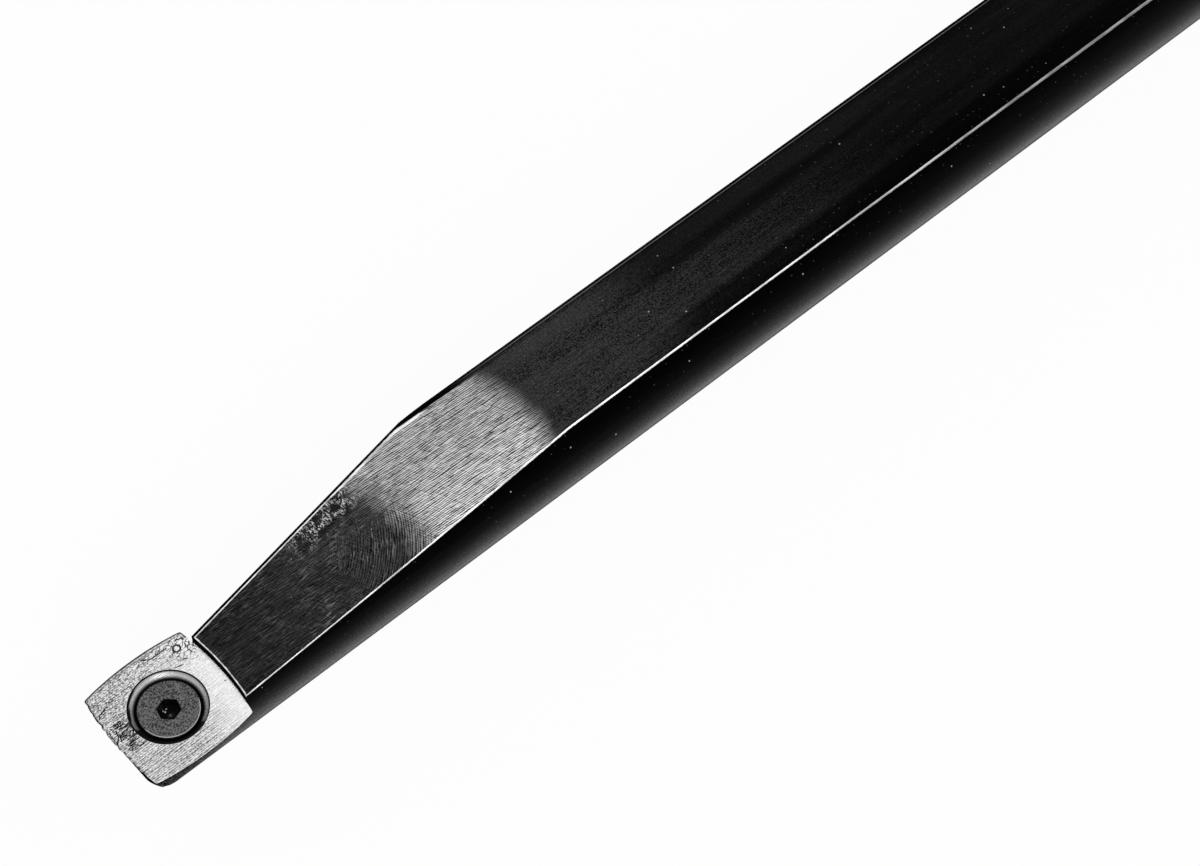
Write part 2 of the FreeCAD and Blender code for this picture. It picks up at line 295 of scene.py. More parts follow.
def surfaceMesh(name, grid, material, nodeName, firstCap=False, lastCap=False,
                ringClosed=False, marks=None, sharp=40.0):
    # One quad to each four neighbours of the grid, whose columns close round. The rows
    # close too where ringClosed is set, and a cap is a fan to the middle of an end row.
    rows, columns = grid.shape[:2]
    points = grid.reshape(-1, 3)
    index = np.arange(rows * columns).reshape(rows, columns)
    after = np.roll(index, -1, axis=1)
    upper, upperAfter = np.roll(index, -1, axis=0), np.roll(after, -1, axis=0)
    quads = np.stack([index, after, upperAfter, upper], axis=-1)
    quads = (quads if ringClosed else quads[:-1]).reshape(-1, 4)
    faces = quads.tolist()
    for wanted, row, turned in ((firstCap, 0, True), (lastCap, -1, False)):
        if wanted:
            middle = np.full(columns, len(points))
            points = np.vstack([points, grid[row].mean(axis=0)])
            order = (after[row], index[row], middle) if turned else (index[row], after[row], middle)
            faces += np.stack(order, axis=-1).tolist()
    mesh = bpy.data.meshes.new(name)
    mesh.from_pydata(toFrame(points).tolist(), [], faces)
    mesh.polygons.foreach_set("use_smooth", np.ones(len(faces), dtype=bool))
    mesh.set_sharp_from_angle(angle=math.radians(sharp))
    for label, values in (marks or {}).items():
        full = np.zeros(len(points))
        full[:rows * columns] = values.reshape(-1)
        mesh.attributes.new(label, "FLOAT", "POINT").data.foreach_set("value", full)
    mesh.materials.append(material)
    piece = bpy.data.objects.new(name, mesh)
    bpy.context.scene.collection.objects.link(piece)
    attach(piece, "root")
    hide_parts(nodeName)


def revolved(profile, columns):
    # A profile of (place along the axis, radius) carried round the bar's axis.
    angle = np.linspace(0.0, 2 * np.pi, columns, endpoint=False)
    along = np.repeat(profile[:, :1], columns, axis=1)
    first = profile[:, 1:] * np.cos(angle)
    second = profile[:, 1:] * np.sin(angle)
    return np.stack([along, first, second], axis=-1)


print("bar")

barSettings = {
    "radius": 9.525, "flatHeight": 6.63, "flatEnd": 178.0, "runoutAngle": 20.0,
    "rampStart": 58.5, "rampAngle": 3.05, "sideAngle": 9.27, "sideOffset": 0.5,
    "wallCentre": (-30.367, -3.47), "wallRadius": 38.167,
    "oxideDark": 0.0006, "oxideLight": 0.03, "steelDark": 0.05, "steelLight": 0.95,
    "brightStart": 36.4, "brightEnd": 57.6, "wearWidth": 0.095,
    "marks": (2.0, 7.8), "crossedMarks": (0.9, 6.6), "arcMarks": (1.1, 6.4),  # length, fineness
    "crossedTurn": 62.0, "arcCentre": (18.0, 7.0), "arcReach": 14.0,
    "tornScale": (6.2, 2.4, 1.0), "tornTurn": -20.0,
    "dust": (3.2, 0.12), "fineDust": (0.9, 0.1),  # spacing, size
}


def makeBarMaterial():
    s = barSettings
    material, tree, principled = newMaterial("blackenedBar", {
        "Metallic": 1.0, "Roughness": 0.35, "Specular IOR Level": 0.0})
    place = toolCoordinates(tree)
    x, y, z = split(place)

    # How far a point lies below the flat or ramp, inside the round stock, inside the nose's
    # left side and behind the cutter's wall. It is near an edge where two of them are small.
    ramp = largest(minus(s["rampStart"], x), 0.0)
    runout = largest(minus(x, s["flatEnd"]), 0.0)
    top = scaled(ramp, -math.tan(math.radians(s["rampAngle"])), s["flatHeight"])
    top = scaled(runout, math.tan(math.radians(s["runoutAngle"])), top)
    belowTop = minus(top, z)
    inRound = minus(s["radius"], lengthOf(vector(0.0, y, z)))
    slope = math.radians(s["sideAngle"])
    side = scaled(x, math.tan(slope), s["sideOffset"])
    inSide = times(minus(side, y), math.cos(slope))
    fromWall = vector(minus(x, s["wallCentre"][0]), minus(y, s["wallCentre"][1]), 0.0)
    inWall = minus(lengthOf(fromWall), s["wallRadius"])
    inward = calc("MINIMUM", calc("MINIMUM", inRound, inSide), inWall)
    edge = largest(minus(belowTop, 0.08), times(inward, 1.8))
    onTop = fall(belowTop, 0.03, 0.12)

    # The right ridge and the wall's edge are rubbed to bare steel. On the nose's left ridge
    # the bare line lies a little inside the edge, wider beside the painted reflection on the ramp.
    left = fade(y, 0.4, 1.2)
    inLeft = calc("MINIMUM", inRound, inSide)
    wide = band(x, 30.0, 35.0, 44.0, 48.0)
    line = scaled(wide, 0.09, 0.47)
    line = calc("ABSOLUTE", minus(inLeft, line))
    line = minus(line, times(wide, 0.08))
    line = calc("ADD", line, calc("ADD", belowTop, fade(x, 46.0, 52.0)))
    lip = largest(times(inWall, 0.45), belowTop)
    edge = calc("MINIMUM", between(left, edge, line), lip)
    wearAndHighlight = wornAndHighlitEdges(place, edge, fade(x, 90.0, 150.0, s["wearWidth"], 0.16), 0.12, 2.6)
    rubbedTone = noise(place, (0.25, 1.0, 1.0), 3.0, 0.6)
    rubbedTone = times(fade(rubbedTone, 0.35, 0.6, 0.5, 0.95), fade(x, 70.0, 140.0, 1.0, 0.3))

    # Painted shade: the wall behind the cutter, the seat below its top, and the outer side of the nose's
    # left edges are painted near black.
    wallShade = times(fall(inWall, 0.02, 0.06), fade(belowTop, 0.08, 0.14))
    wallShade = times(wallShade, fade(inRound, 0.1, 0.4), fade(z, -0.5, 0.2))
    leftEdgeShade = times(fall(inLeft, 0.32, 0.4), left, fall(belowTop, 0.2, 0.5), fall(x, 50.0, 62.0))
    paintedShade = largest(wallShade, leftEdgeShade)
    wearAndHighlight = times(wearAndHighlight, minus(1.0, paintedShade))

    # Painted reflection: the bright zone on the ramp is drawn as bare brushed steel between two soft,
    # uneven limits.
    uneven = minus(noise(place, (0.35, 0.35, 0.35), 4.0, 0.6), 0.5)
    bow = calc("POWER", calc("ADD", y, 1.5), 2.0)
    last = scaled(bow, -0.025, s["brightEnd"])
    last = scaled(uneven, 1.6, last)
    past = minus(x, last)
    first = scaled(uneven, 6.0, x)
    first = scaled(largest(calc("ADD", y, 1.0), 0.0), 0.4, first)
    sheenPatch = times(fall(past, -4.0, 0.7), fade(first, s["brightStart"] - 3.4, s["brightStart"] + 3.4))
    sheenPatch = times(sheenPatch, onTop, minus(1.0, paintedShade))

    # Brush marks along the bar, others that cross them, and arcs at the patch's nose end.
    marks = brushed(place, *s["marks"])
    crossed = brushed(stretched(place, (1.0, 1.0, 1.0), math.radians(s["crossedTurn"])),
                      *s["crossedMarks"])
    arcX, arcY = minus(x, s["arcCentre"][0]), minus(y, s["arcCentre"][1])
    reach = lengthOf(vector(arcX, arcY, 0.0))
    turn = calc("ARCTAN2", arcY, arcX)
    arcs = brushed(vector(times(turn, s["arcReach"]), reach, 0.0), *s["arcMarks"])
    arcZone = times(band(x, 24.0, 29.0, 34.5, 38.0), fade(y, -3.5, 1.5, 1.0, 0.1))
    lines = between(arcZone, marks["Lines"], arcs["Lines"])
    scratches = between(arcZone, marks["Scratches"], arcs["Scratches"])
    scratches = largest(scratches, times(crossed["Scratches"], 0.35))
    patchy = fade(noise(place, 0.3, 3.0, 0.6), 0.35, 0.65, 0.35, 1.0)
    scratches = times(scratches, patchy)
    lines = scaled(crossed["Lines"], 0.32, times(lines, 0.68))
    lines = fade(lines, 0.1, 0.9)

    # Roughened spot on the nose's left edge: torn strokes across it, between bare dark pits.
    spot = times(fall(inSide, 2.2, 4.2), band(x, 22.0, 26.0, 32.0, 36.0), onTop)
    torn = noise(stretched(place, s["tornScale"], math.radians(s["tornTurn"])), 1.0, 2.0, 0.6, 1.2)
    torn = times(fade(torn, 0.51, 0.6), fade(noise(place, 0.8, 2.0), 0.42, 0.56))

    # Oxide: near black, with faint streaks along the bar, greyer towards the nose.
    streaks = fade(noise(place, (0.02, 0.5, 0.5)), 0.36, 0.66)
    thin = fade(x, 60.0, 122.0, 1.0, 0.08)
    middle = calc("POWER", times(calc("ADD", y, 0.8), 0.33), 2.0)
    middle = calc("ADD", fade(x, 70.0, 84.0, 1.0, 0.2), fade(middle, 0.4, 1.3, 0.8, 0.0), clamp=True)
    thin = times(thin, middle, fade(inRound, -0.6, 0.6))
    tone = times(thin, scaled(streaks, 0.6, 0.1))
    tone = scaled(scratches, times(thin, 0.7), tone)
    tone = times(tone, onTop, fade(x, 30.0, 60.0, 0.5, 1.0))
    grain = noise(place, (5.5, 8.5, 8.5), 0.0)
    evenGrain = times(fade(grain, 0.36, 0.62), fade(marks["Lines"], 0.0, 0.8, 0.3, 1.3))
    grain = fade(grain, 0.5, 0.68)
    nose = times(fall(x, 30.0, 60.0), onTop, fade(x, 10.0, 28.0, 0.45, 1.0))
    rubbed = scaled(scratches, 1.1, times(calc("POWER", lines, 3.0), 0.26))
    rubbed = times(nose, rubbed)
    oxide = blend(tone, grey(s["oxideDark"]), grey(s["oxideLight"]))
    oxide = blend(rubbed, oxide, grey(0.17))
    pale = times(fade(x, 66.0, 84.0), fade(y, -3.0, 6.0), onTop)
    pale = times(pale, scaled(streaks, 0.6, 0.4), fade(inRound, -0.6, 0.6))
    oxide = blend(times(pale, 0.8), oxide, grey(0.0065))
    thin = largest(thin, times(pale, 0.15))
    flecks = times(evenGrain, thin, onTop, fade(x, 30.0, 60.0, 0.1, 1.0))
    oxide = blend(times(flecks, 0.7), oxide, grey(0.06))

    # Rims: the left shoulder is a soft grey band, and grain lies low on the flank.
    rim = times(fade(belowTop, 0.03, 0.12), fade(y, 4.0, 5.0))
    rim = times(rim, fade(z, 4.7, 5.8), fade(x, 50.0, 62.0))
    rim = times(rim, fade(evenGrain, 0.0, 1.0, 0.3, 1.0), fade(x, 60.0, 115.0, 1.0, 0.3))
    oxide = blend(rim, oxide, grey(0.028))
    low = times(fade(z, 3.0, -4.5), fade(belowTop, 0.1, 0.3))
    low = times(low, fade(z, -6.0, -4.0, 0.3, 1.0), fade(y, -2.0, 2.0, 1.0, 0.3))
    oxide = blend(times(grain, low), oxide, grey(0.18))
    oxide = blend(times(spot, 0.6), oxide, grey(0.004))
    oxide = blend(times(spot, torn), oxide, grey(0.6))

    bright = scaled(fall(y, -7.5, 3.0), 0.3, 0.64)
    steel = blend(times(calc("POWER", lines, 1.5), bright), grey(s["steelDark"]), grey(s["steelLight"]))
    # bare steel: the ramp's painted reflection and the worn edges
    bare = largest(sheenPatch, wearAndHighlight)
    steel = blend(wearAndHighlight, steel, rubbedTone)
    colour = blend(bare, oxide, steel)
    arc = times(calc("ARCTAN2", y, z), s["radius"])
    skin = vector(x, between(onTop, arc, y), 0.0)
    dust = specks(skin, *s["dust"], fade(onTop, 0.0, 1.0, 0.08, 0.2))
    fineDust = specks(skin, *s["fineDust"], 0.16)
    dust = largest(dust, times(fineDust, 0.13))
    dust = times(dust, minus(1.0, sheenPatch))
    colour = blend(times(dust, 0.6), colour, grey(0.5))
    # painted shade, near black, on the wall, the seat and the nose's left edges
    colour = blend(paintedShade, colour, grey(0.002))
    feed(principled.inputs["Base Color"], colour)

    # Painted shade: the left shoulder, a band low on the flank and the nose below the cutter are made
    # duller, less metallic, so they render dark; dust and the painted shade above are not metal either.
    offTop = fade(belowTop, 0.1, 0.3)
    shoulder = times(fade(y, -0.5, 1.0), fade(z, 2.4, 3.9))
    below = largest(fade(z, -1.7, -3.1, 0.0, 0.88), fade(x, -3.0, 10.0, 0.95, 0.0))
    below = times(below, fade(z, -7.0, -4.6), fall(y, -1.0, 2.0))
    shadeAndDust = times(largest(shoulder, below), offTop, minus(1.0, wearAndHighlight))
    shadeAndDust = largest(dust, paintedShade, shadeAndDust)
    feed(principled.inputs["Metallic"], minus(1.0, shadeAndDust))
    mattness = scaled(streaks, 0.1, 0.24)
    mattness = between(bare, mattness, scaled(lines, -0.15, 0.42))
    feed(principled.inputs["Roughness"], mattness)

    relief = times(lines, largest(sheenPatch, times(nose, 0.6)))
    relief = scaled(noise(place, 4.5, 1.0), 1.1, relief)
    feed(principled.inputs["Normal"], bump(relief, 0.012))
    return material


barPiece = nodes["tool_bar"]
barPiece.data.materials.clear()
barPiece.data.materials.append(makeBarMaterial())

print("cutter")

cutterSettings = {
    "middle": (0.0, -3.47, 0.4), "halfSide": 7.0, "bulge": 0.65, "corner": 0.35,
    "thickness": 2.5, "relief": 25.0, "sinkRadius": 4.84, "holeRadius": 2.5,
    "rimBreak": 0.05, "edgeBreak": 0.025, "columns": 1008, "topRings": 66,
    "bites": [  # on the front edge: share of the way from left to right, width, depth
        (0.05, 0.02, 0.10), (0.14, 0.015, 0.06), (0.27, 0.022, 0.16), (0.35, 0.018, 0.14),
        (0.43, 0.012, 0.06), (0.52, 0.02, 0.08), (0.60, 0.03, 0.13), (0.68, 0.025, 0.15),
        (0.75, 0.02, 0.11), (0.86, 0.02, 0.05)],
    "nicks": 0.022,
    "marksSeed": 11, "nickCount": 170, "clusterCount": 150, "wormSeed": 5, "wormDepth": 0.16,
    "marks": (2.0, 7.0), "grain": (4.4, 7.0, 7.0),
    "light": (0.88, 0.98), "dark": (0.16, 0.72),  # at the middle and towards the back
}


def outlineReach(angle, inset):
    # Distance from the middle to the outline, drawn in by the inset. Each side is an arc of
    # radius (half side squared + bulge squared) / (2 bulge) about a point behind the
    # middle, and past its tangent point the outline is the corner's own small arc.
    s = cutterSettings
    sideRadius = (s["halfSide"] ** 2 + s["bulge"] ** 2) / (2 * s["bulge"])
    behind = sideRadius - s["halfSide"] - s["bulge"]
    toSide = np.abs((angle + np.pi / 4) % (np.pi / 2) - np.pi / 4)
    reach = sideRadius - inset
    side = np.sqrt(reach ** 2 - (behind * np.sin(toSide)) ** 2) - behind * np.cos(toSide)
    ring = reach - s["corner"]
    diagonal = (np.sqrt(2 * behind ** 2 - 4 * (behind ** 2 - ring ** 2)) - math.sqrt(2) * behind) / 2
    half = diagonal / math.sqrt(2)
    tangent = np.arctan2(half + s["corner"] * half / ring, half + s["corner"] * (half + behind) / ring)
    toCorner = np.pi / 4 - toSide
    root = np.maximum(s["corner"] ** 2 - (diagonal * np.sin(toCorner)) ** 2, 0)
    corner = diagonal * np.cos(toCorner) + np.sqrt(root)
    return np.where(toSide > tangent, corner, side)


# Scratches and cracks in the cutter's top, as lines of places in millimetres, by their
# half width and depth.
cutterCracks = {
    (0.07, 0.1): [
        [(-6.68, -1.24), (-5.35, -1.28)], [(-6.24, -1.7), (-5.48, -1.85)], [(-5.88, -2.19), (-4.84, -2.15)],
        [(-6.1, -2.68), (-4.86, -2.56)], [(-6.45, -3.05), (-5.81, -3.26)],
        [(-6.47, -2.01), (-6.71, -2.82), (-7.4, -3.6)], [(-6.43, -2.73), (-6.79, -3.6)],
        [(-6.11, -3.85), (-4.9, -3.86)], [(-6.29, -4.29), (-4.95, -4.4)], [(-6.4, -4.62), (-5.57, -4.66)],
        [(-5.53, -5.38), (-4.95, -5.37)], [(-5.54, -3.67), (-4.9, -3.68)],
        [(-5.29, -2.18), (-4.7, -2.07)], [(-5.24, -3.08), (-4.8, -3.12), (-5.14, -3.51)],
        [(-6.99, 0.48), (-6.63, 0.86), (-6.14, 0.94), (-5.65, 1.21), (-5.4, 1.16)],
        [(1.38, 3.36), (1.95, 3.01), (2.42, 2.87), (3.1, 2.8), (3.61, 2.89), (3.99, 2.81), (4.46, 2.85)],
        [(5.73, 2.97), (6.03, 2.98), (6.6, 2.75), (6.69, 2.49)], [(5.0, 0.46), (5.52, 0.18)],
        [(4.05, -0.02), (4.69, -0.14)]],
    (0.05, 0.07): [
        [(-5.38, -1.42), (-5.88, -2.19)], [(-7.2, -1.63), (-7.3, -2.26), (-7.3, -3.07), (-7.4, -3.71)],
        [(-7.2, -1.26), (-6.84, -1.35)], [(-6.3, -4.87), (-6.45, -5.26)],
        [(-5.34, 1.63), (-4.62, 1.43), (-4.25, 1.54)], [(-6.57, 2.69), (-6.53, 1.97)],
        [(-5.47, 3.45), (-4.49, 3.4)], [(-3.19, 3.5), (-3.19, 3.4)], [(-2.2, 3.13), (-2.2, 3.04)],
        [(2.35, 2.58), (2.86, 2.48)], [(0.97, 3.08), (1.57, 2.9)], [(0.38, 3.07), (0.71, 3.12)],
        [(4.53, 3.14), (4.97, 2.93)], [(6.54, 2.1), (6.4, 1.52), (6.41, 1.16)],
        [(6.95, 1.82), (6.9, 1.53)], [(7.12, -5.03), (7.11, -5.09)], [(3.57, 0.13), (3.92, 0.0)],
        [(2.88, 0.38), (3.22, 0.43)]],
    (0.045, 0.04): [
        [(-6.05, -0.68), (-5.21, -0.72)], [(-6.44, 0.35), (-5.94, 0.43)], [(-5.4, -0.38), (-4.9, -0.47)],
        [(-5.29, 0.73), (-4.2, 0.64)], [(-7.1, -4.5), (-6.82, -4.6)], [(-4.68, 1.74), (-3.67, 1.55)],
        [(-6.2, 2.03), (-6.26, 1.56)], [(-6.53, 3.3), (-6.93, 3.0), (-7.0, 2.14)],
        [(-5.02, 3.24), (-4.77, 3.37)], [(-1.69, 1.48), (-1.7, 1.4)], [(0.82, 2.68), (1.24, 2.66)],
        [(6.86, 2.52), (7.0, 2.47)], [(6.57, 1.55), (6.66, 1.29)], [(5.4, 2.73), (5.67, 2.5)],
        [(4.34, 1.72), (4.69, 1.6)], [(4.95, 1.5), (5.3, 1.24)], [(1.69, 2.28), (2.03, 2.16)],
        [(3.25, 1.45), (3.86, 1.27)], [(2.96, 2.22), (3.65, 1.97)]],
}


def cutterMarks():
    # Dents in the top as (start, end, half width, depth): the cracks, shaken a little,
    # and small nicks scattered over the left of the top.
    rng = np.random.default_rng(cutterSettings["marksSeed"])
    marks = []
    for (halfWidth, depth), lines in cutterCracks.items():
        for places in lines:
            ends = np.array(places)
            line = np.vstack([a + (b - a) * part
                              for a, b in zip(ends, ends[1:]) for part in (0.0, 0.35, 0.7)])
            line = np.vstack([line + rng.normal(0, 0.03, line.shape), ends[-1:]])
            marks += [(tuple(a), tuple(b), halfWidth * rng.uniform(0.7, 1.2), depth)
                      for a, b in zip(line, line[1:])]
    for _ in range(cutterSettings["clusterCount"]):
        y = rng.uniform(-5.4, -1.2)
        x = rng.uniform(-6.9, -math.sqrt(4.95 ** 2 - (y + 3.47) ** 2) - 0.25)
        run, lean = rng.uniform(0.08, 0.5), rng.normal(0.0, 0.3)
        marks.append(((x, y), (x + run * math.cos(lean), y + run * math.sin(lean)),
                      rng.uniform(0.035, 0.06), rng.uniform(0.03, 0.08)))
    for _ in range(cutterSettings["nickCount"]):
        spot = np.array([rng.uniform(-6.5, 6.6), rng.uniform(-0.9, 3.7)])
        run, lean = rng.uniform(0.03, 0.4), rng.normal(0.0, 0.2)
        end = spot + run * np.array([math.cos(lean), math.sin(lean)])
        marks.append((tuple(spot), tuple(end), rng.uniform(0.04, 0.065), rng.uniform(0.012, 0.04)))
    return marks


def wormField(x, y):
    # Thin winding grooves where a sum of sine waves of mixed directions passes through zero.
    rng = np.random.default_rng(cutterSettings["wormSeed"])
    total = np.zeros_like(x)
    for _ in range(9):
        heading, length, shift = rng.uniform(0, 2 * np.pi), rng.uniform(0.55, 1.3), rng.uniform(0, 6.3)
        total += np.sin((x * math.cos(heading) + y * math.sin(heading)) * 2 * np.pi / length + shift)
    groove = np.exp(-(total / 0.42) ** 2)
    corner = np.exp(-(((x - 5.7) / 1.5) ** 2 + ((y - 1.7) / 1.7) ** 2)) * 1.1
    band = np.exp(-((y - 3.2) / 0.55) ** 2) * np.clip((x + 1.5) / 2.0, 0, 1) * 0.55
    front = np.exp(-(((x + 6.35) / 0.75) ** 2 + ((y - 1.8) / 1.2) ** 2)) * 0.8
    return groove * np.clip(np.maximum(np.maximum(corner, band), front) * 1.8 - 0.3, 0, 1)


def dentDepth(x, y):
    # Each mark is a groove whose depth falls off as exp(-(distance / half width) squared).
    depth = wormField(x, y) * cutterSettings["wormDepth"]
    for (ax, ay), (bx, by), halfWidth, most in cutterMarks():
        dx, dy = bx - ax, by - ay
        part = np.clip(((x - ax) * dx + (y - ay) * dy) / max(dx * dx + dy * dy, 1e-6), 0, 1)
        away = (x - ax - part * dx) ** 2 + (y - ay - part * dy) ** 2
        depth = np.maximum(depth, most * np.exp(-away / halfWidth ** 2))
    button = np.hypot(x - 5.38, y - 2.02)  # a groove round a button near the back left corner
    depth = depth * (1 - np.exp(-(button / 0.33) ** 4))
    return np.maximum(depth, 0.1 * np.exp(-((button - 0.45) / 0.09) ** 2))


def frontRetreat(angle, reach):
    # How far the front edge has broken back: round bites at their places along the edge,
    # and finer nicks as a sum of sines of unrelated lengths.
    s = cutterSettings
    x, y = reach * np.cos(angle), reach * np.sin(angle)
    share = np.clip((s["halfSide"] - y) / (2 * s["halfSide"]), 0, 1)
    back = np.zeros_like(angle)
    for middle, width, depth in s["bites"]:
        back = np.maximum(back, depth * np.exp(-((share - middle) / width) ** 2))
    waves = ((83, 0.4), (131, 2.1), (197, 4.0), (311, 1.2))
    fine = sum(np.sin(share * rate + shift) for rate, shift in waves)
    back = back + s["nicks"] * np.clip(fine / 2.2, 0, 1)
    front = np.clip((-x - 5.6) / 0.8, 0, 1)
    return back * front


def makeCutterGrid():
    # Polar grid. Its rows run up the hole and the sink, out over the top, down the
    # relieved side and back under, and each carries its reach, height and edge distance.
    s = cutterSettings
    angle = np.linspace(0, 2 * np.pi, s["columns"], endpoint=False)
    outline = outlineReach(angle, 0.0)
    retreat = frontRetreat(angle, outline)
    edge = outline - retreat
    top, rim, fine = s["thickness"], s["sinkRadius"], s["edgeBreak"]
    foot = top - (rim - s["holeRadius"])
    ones = np.ones_like(angle)
    rows = []

    def addRow(reach, height, distance):
        rows.append(np.stack([reach * ones, height * ones, distance * ones]))

    for height in (0.0, foot * 0.5, foot):
        addRow(s["holeRadius"], height, 1.0)
    for part in (0.25, 0.5, 0.68, 0.74, 0.8, 0.86, 0.92, 0.955, 0.975):
        reach = s["holeRadius"] + part * (rim - s["holeRadius"])
        addRow(reach, foot + part * (top - foot), (1 - part) * 2.3)
    rimBreak = s["rimBreak"]
    addRow(rim - rimBreak * 0.7, top - rimBreak * 0.7, 0.03)
    addRow(rim - rimBreak * 0.2, top - rimBreak * 0.25, 0.0)
    addRow(rim + rimBreak * 0.3, top - rimBreak * 0.04, 0.0)
    inner = rim + rimBreak
    share = np.linspace(0, 1, s["topRings"])
    share = 1 - (1 - share) ** 1.25
    for part in share:
        reach = inner + part * (edge - fine - inner)
        addRow(reach, top, np.minimum(reach - rim, edge - reach))
    addRow(edge - fine * 0.3, top - fine * 0.3, 0.0)
    slope = math.tan(math.radians(s["relief"]))
    for depth in (0.03, 0.08, 0.15, 0.25, 0.4, 0.6, 0.9, 1.3, 1.8, 2.2, 2.44):
        lower = outlineReach(angle, depth * slope) - retreat * np.exp(-(depth / 0.3) ** 2)
        addRow(lower, top - depth, depth)
    under = outlineReach(angle, (top - 0.06) * slope)
    addRow(under - 0.07, 0.0, 0.0)
    for part in (0.6, 0.25):
        addRow(s["holeRadius"] + part * (under - s["holeRadius"]), 0.0, 1.0)
    reach, height, distance = np.moveaxis(np.array(rows), 1, 0)
    x, y = reach * np.cos(angle), reach * np.sin(angle) + s["middle"][1]

    # Dents and broken lips only lower the top, which they fade out of at the rim.
    onTop = (height > top - 0.06) & (reach > rim)
    dents = np.where(onTop, dentDepth(x, y), 0)
    lip = retreat * 0.35 * np.exp(-((edge - reach) / 0.16) ** 2)
    height = height - np.where(onTop, dents + lip, 0) * (height > top - 0.3)
    grid = np.stack([x, y, height + s["middle"][2]], axis=-1)
    inSink = ((reach < rim) & (reach > s["holeRadius"] + 0.01) & (height > 0.01)).astype(float)

    # Grime and painted shade: the dents are darkened, part grime and part painted shade; the gap
    # round the screw's head, the front of the recess and its rim get painted shade; and two dark
    # hairlines run along the left edge.
    turn = np.degrees(angle) % 360
    near = np.clip((64 - np.abs(turn - 238)) / 6, 0, 1)
    crescent = 0.25 + 0.18 * np.exp(-((turn - 152) / 26) ** 2)
    gap = np.clip((4.27 - reach) / 0.06, 0, 1)
    lining = np.clip((reach - (rim + 0.05 - crescent)) / 0.04, 0, 1) * (reach < rim + 0.05)
    recessShade = np.maximum(np.maximum(gap, lining), near) * (reach < rim + 0.05)
    root = np.exp(-(((x + 4.55) / 0.5) ** 2 + ((y + 2.6) / 0.75) ** 2) ** 2)
    recessShade = np.maximum(recessShade, root * (height > top - 0.3))
    side = np.maximum(y > 2.4, (x < -6.0) & (y > -0.6))
    hairline = np.exp(-((edge - reach - 0.09) / 0.16) ** 2)
    front = (x < -6.0) & (y <= -0.6) & (y > -9.0)
    chipped = np.clip(0.6 + 0.4 * np.sin(y * 7.3) + 0.35 * np.sin(y * 17.9 + 1.0), 0, 1)
    land = np.exp(-((edge - reach - 0.48) / 0.08) ** 2) * 0.75 * (y > 2.2) * (x > -5.2)
    hairline = np.maximum(hairline, land) * np.maximum(side, front * chipped) * (height > top - 0.2)
    grimeAndShade = np.maximum(np.maximum(np.clip(dents / 0.045, 0, 1), recessShade), hairline)
    distance = np.where(side | front, 1.0, distance)
    return grid, {"edgeDistance": distance, "grimeAndShade": grimeAndShade, "inSink": inSink}


def makeCarbideMaterial():
    material, tree, principled = newMaterial("groundCarbide", {"Metallic": 1.0, "Roughness": 0.3})
    place = toolCoordinates(tree)
    x, y, z = split(place)
    marks = brushed(place, *cutterSettings["marks"])
    grain = noise(place, cutterSettings["grain"], 0.0)
    grain = fade(grain, 0.45, 0.57)
    lines = between(fade(y, -5.0, 0.0, 0.45, 0.65), marks["Lines"], grain)
    bright = fade(x, 0.0, 7.5)
    light = blend(bright, *map(grey, cutterSettings["light"]))
    dark = blend(bright, *map(grey, cutterSettings["dark"]))
    colour = blend(lines, dark, light)
    sinkTone = blend(marks["Lines"], grey(0.48), grey(0.7))
    colour = blend(times(attribute(tree, "inSink"), 0.8), colour, sinkTone)
    sides = fade(z, 2.8, 2.7)
    colour = blend(times(sides, 0.5), colour, grey(0.3))
    # Painted highlight: a pale line along the cutter's edges other than the left and front ones, and round
    # the recess's rim.
    wearAndHighlight = wornAndHighlitEdges(place, attribute(tree, "edgeDistance"), 0.07, 0.05, 2.0)
    colour = blend(times(wearAndHighlight, 0.85), colour, grey(0.93))
    # near black: grime and painted shade in the dents, painted shade in the gap round the screw's head and
    # over the recess's front and rim, and two dark hairlines along the left edge
    grimeAndShade = attribute(tree, "grimeAndShade")
    colour = blend(grimeAndShade, colour, grey(0.006))
    feed(principled.inputs["Base Color"], colour)
    matt = scaled(lines, -0.12, 0.36)
    feed(principled.inputs["Roughness"], scaled(grimeAndShade, 0.3, matt))
    feed(principled.inputs["Normal"], bump(lines, 0.01))
    return material


cutterGrid, cutterValues = makeCutterGrid()
surfaceMesh("carbideCutter", cutterGrid, makeCarbideMaterial(), "carbide_insert",
            ringClosed=True, marks=cutterValues, sharp=50.0)

print("screw")

screwSettings = {
    "middle": (0.0, -3.47, 2.31), "radius": 2.0, "length": 8.0, "pitch": 0.7,
    "threadDepth": 0.38, "headRadius": 3.82, "edgeBreak": 0.12, "land": 0.41, "sinkRadius": 4.82,
    "drop": 0.59, "socketAcross": 2.5, "socketDepth": 1.7, "socketTurn": 17.0, "socketBreak": 0.07,
    "tipBreak": 0.5, "columns": 240, "rowsPerTurn": 14, "dustAt": (-0.3, -2.9, 0.61),
    "dark": 0.025, "light": 0.17,
}


